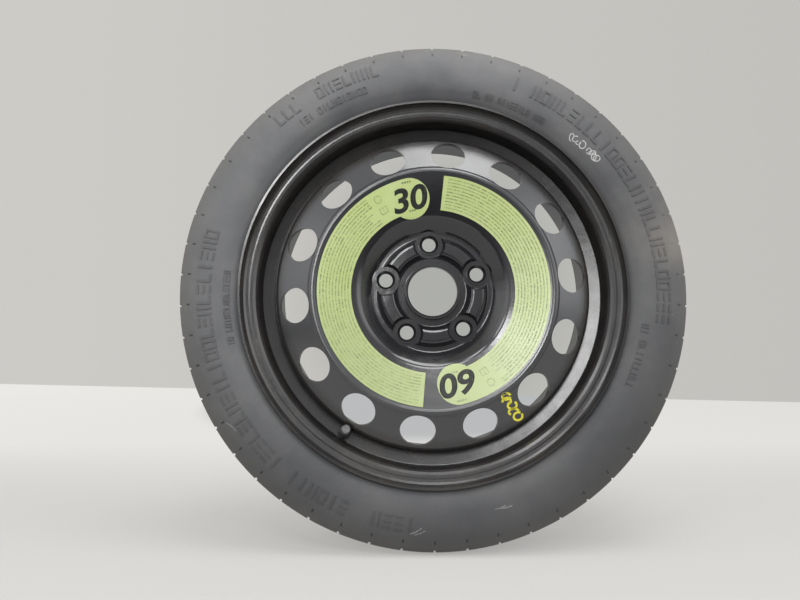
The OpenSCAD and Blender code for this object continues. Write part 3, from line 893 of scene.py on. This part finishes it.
tyre_surface = surface_of(tyre)
chalk_marks = bmesh.new()
for i, (reach, turn) in enumerate(chalk_places):
    wide, high = 2.6 + i % 2, 4.2 - i % 3
    stroke(chalk_marks, curl(sidewall_point(reach, turn), wide, high, 50 * i, 250 + 20 * i), chalk_w)
lay_on(chalk_marks, tyre_surface, marks_lift)
thicken(chalk_marks, marks_t)
chalk = make_marker("chalk", chalk_pale, chalk_thin)
piece("chalk_strokes", chalk_marks, chalk, "wheel")

# Scuffs: a few short pale rubs on the sidewall, where the tyre has brushed against
# something. Each lies at a distance and a turn, with its slant and its width.
scuff_half = 6
scuff_places = ((263, 184.5, 4, 1.2), (264.5, 183.6, 3, 0.8), (247, 163.5, 3, 0.7), (248.5, 162, 2, 1),
                (262, 97, 4, 0.8), (240, 62, 3, 0.7), (268, 236, -6, 0.8))
scuff_lift = 0.04
scuff_t = 0.03
scuff_pale = (0.2, 0.2, 0.195, 1)
scuff_thin = (0.11, 0.11, 0.108, 1)
scuff_marks = bmesh.new()
for reach, turn, slant, width in scuff_places:
    middle = sidewall_point(reach, turn)
    line = [middle + Vector((-scuff_half, -slant / 2)), middle, middle + Vector((scuff_half, slant))]
    stroke(scuff_marks, line, width)
lay_on(scuff_marks, tyre_surface, scuff_lift)
thicken(scuff_marks, scuff_t)
scuff = make_marker("scuff", scuff_pale, scuff_thin)
piece("scuffs", scuff_marks, scuff, "wheel")

# Sidewall marks: low raised bars and frames moulded with the tyre, in arcs round the
# sidewall, where such a tyre has its moulded data. They spell nothing. An arc has its first
# and last turn, its distance, the scale of its shapes and the seed of their order.
mark_h = 0.8
mark_root = 0.3
mark_pitch = 12.5
mark_missing = 0.12
# Painted shade: the marks' rubber is darker than the sidewall's, in place of the shading on their raised
# faces.
mark_painted_shade = 0.79
mark_shapes = {
    "bar": [(-1.3, 1.3, -8, 8)],
    "double": [(-4.5, -2, -8, 8), (2, 4.5, -8, 8)],
    "frame": [(-5, -2.6, -8, 8), (2.6, 5, -8, 8), (-2.6, 2.6, 5.6, 8), (-2.6, 2.6, -8, -5.6)],
    "rungs": [(-4.5, 4.5, 5.6, 8), (-4.5, 4.5, -1.2, 1.2), (-4.5, 4.5, -8, -5.6)],
    "step": [(-4.6, -2, -8, 8), (-2, 4.6, -8, -5.4)],
}
mark_arcs = ((186, 285, 256, 1, 1), (22, 98, 256, 1, 2), (318, 346, 262, 0.9, 3), (322, 342, 243, 0.5, 4),
             (12, 34, 232, 0.4, 5), (255, 275, 232, 0.4, 6), (100, 118, 238, 0.5, 7))


def raised(bm, shape, angle, reach, scale):
    for left, right, foot, top in mark_shapes[shape]:
        grid = bmesh.ops.create_grid(bm, x_segments=3, y_segments=4, size=0.5)["verts"]
        for v in grid:
            along = ((left + right) / 2 + v.co.x * (right - left)) * scale
            out = ((foot + top) / 2 + v.co.y * (top - foot)) * scale
            v.co = Vector(clock_point(angle + math.degrees(along / reach), reach + out))


def mark_arc(bm, first, last, reach, scale, seed):
    pen = random.Random(seed)
    angle = first
    while angle <= last:
        if pen.random() > mark_missing:
            raised(bm, pen.choice(sorted(mark_shapes)), angle, reach, scale)
        angle += math.degrees(mark_pitch * scale / reach)


moulded = bmesh.new()
for arc in mark_arcs:
    mark_arc(moulded, *arc)
lay_on(moulded, tyre_surface, mark_h)
thicken(moulded, mark_h + mark_root)
mark_rubber = make_rubber("mark_rubber", mark_painted_shade)
piece("sidewall_marks", moulded, mark_rubber, "wheel", smooth=30)

# Valve: a rubber body snapped into the rim's hole round a brass stem, with the core
# inside it and a ribbed plastic cap on its end. All of it is grey with dust. Each finish
# has its bare and its dusty colour, its roughness, its share of metal and its dust's scale.
valve_finishes = {
    "valve_rubber": ((0.03, 0.03, 0.032, 1), (0.11, 0.11, 0.1, 1), 0.7, 0, 200),
    "brass": ((0.5, 0.36, 0.14, 1), (0.32, 0.25, 0.13, 1), 0.35, 1, 300),
    "pin_steel": ((0.5, 0.5, 0.5, 1), (0.35, 0.35, 0.34, 1), 0.3, 1, 300),
    "seal_rubber": ((0.1, 0.035, 0.025, 1), (0.13, 0.06, 0.05, 1), 0.6, 0, 300),
    "cap_plastic": ((0.055, 0.056, 0.058, 1), (0.16, 0.16, 0.155, 1), 0.55, 0, 220),
}


def make_dusty(name, bare, dusty, roughness, metal, scale):
    material, nodes, links, shader = new_material(name)
    dust = ramp(nodes, links, noise(nodes, links, scale, detail=6, rough=0.65), low=0.4, high=0.7)
    links.new(blend_colour(nodes, links, dust, bare, dusty), shader.inputs["Base Color"])
    shader.inputs["Roughness"].default_value = roughness
    shader.inputs["Metallic"].default_value = metal
    grain = noise(nodes, links, scale * 8, detail=3, rough=0.6)
    bump(nodes, links, grain, 0.2, 0.0002, shader)
    return material


valve_looks = {name: make_dusty(name, *finish) for name, finish in valve_finishes.items()}
finish_node("valve_body", valve_looks["valve_rubber"])
finish_node("valve_stem", valve_looks["brass"])
finish_node("valve_core_barrel", valve_looks["brass"])
finish_node("valve_core_pin", valve_looks["pin_steel"])
finish_node("valve_core_seal", valve_looks["seal_rubber"])
finish_node("valve_cap", valve_looks["cap_plastic"])

# Core spring: a coil of fine steel wire round the core's pin. Its foot stands on the
# barrel's floor and its other end carries the pin's collar, so the pressed pin would shorten
# it; here the coil is the CAD coil as it stands, and nothing shortens it.


def core_coil(wire):
    bm = bmesh.new()
    bm.from_mesh(wire.data)
    bmesh.ops.remove_doubles(bm, verts=bm.verts, dist=1e-6)
    mesh = bpy.data.meshes.new("core_coil")
    bm.to_mesh(mesh)
    bm.free()
    mesh.materials.clear()
    mesh.materials.append(valve_looks["pin_steel"])
    mesh.shade_smooth()
    coil = bpy.data.objects.new("core_coil", mesh)
    bpy.context.scene.collection.objects.link(coil)
    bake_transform(coil)
    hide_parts("valve_core_spring")


core_coil(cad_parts["valve_core_spring"])
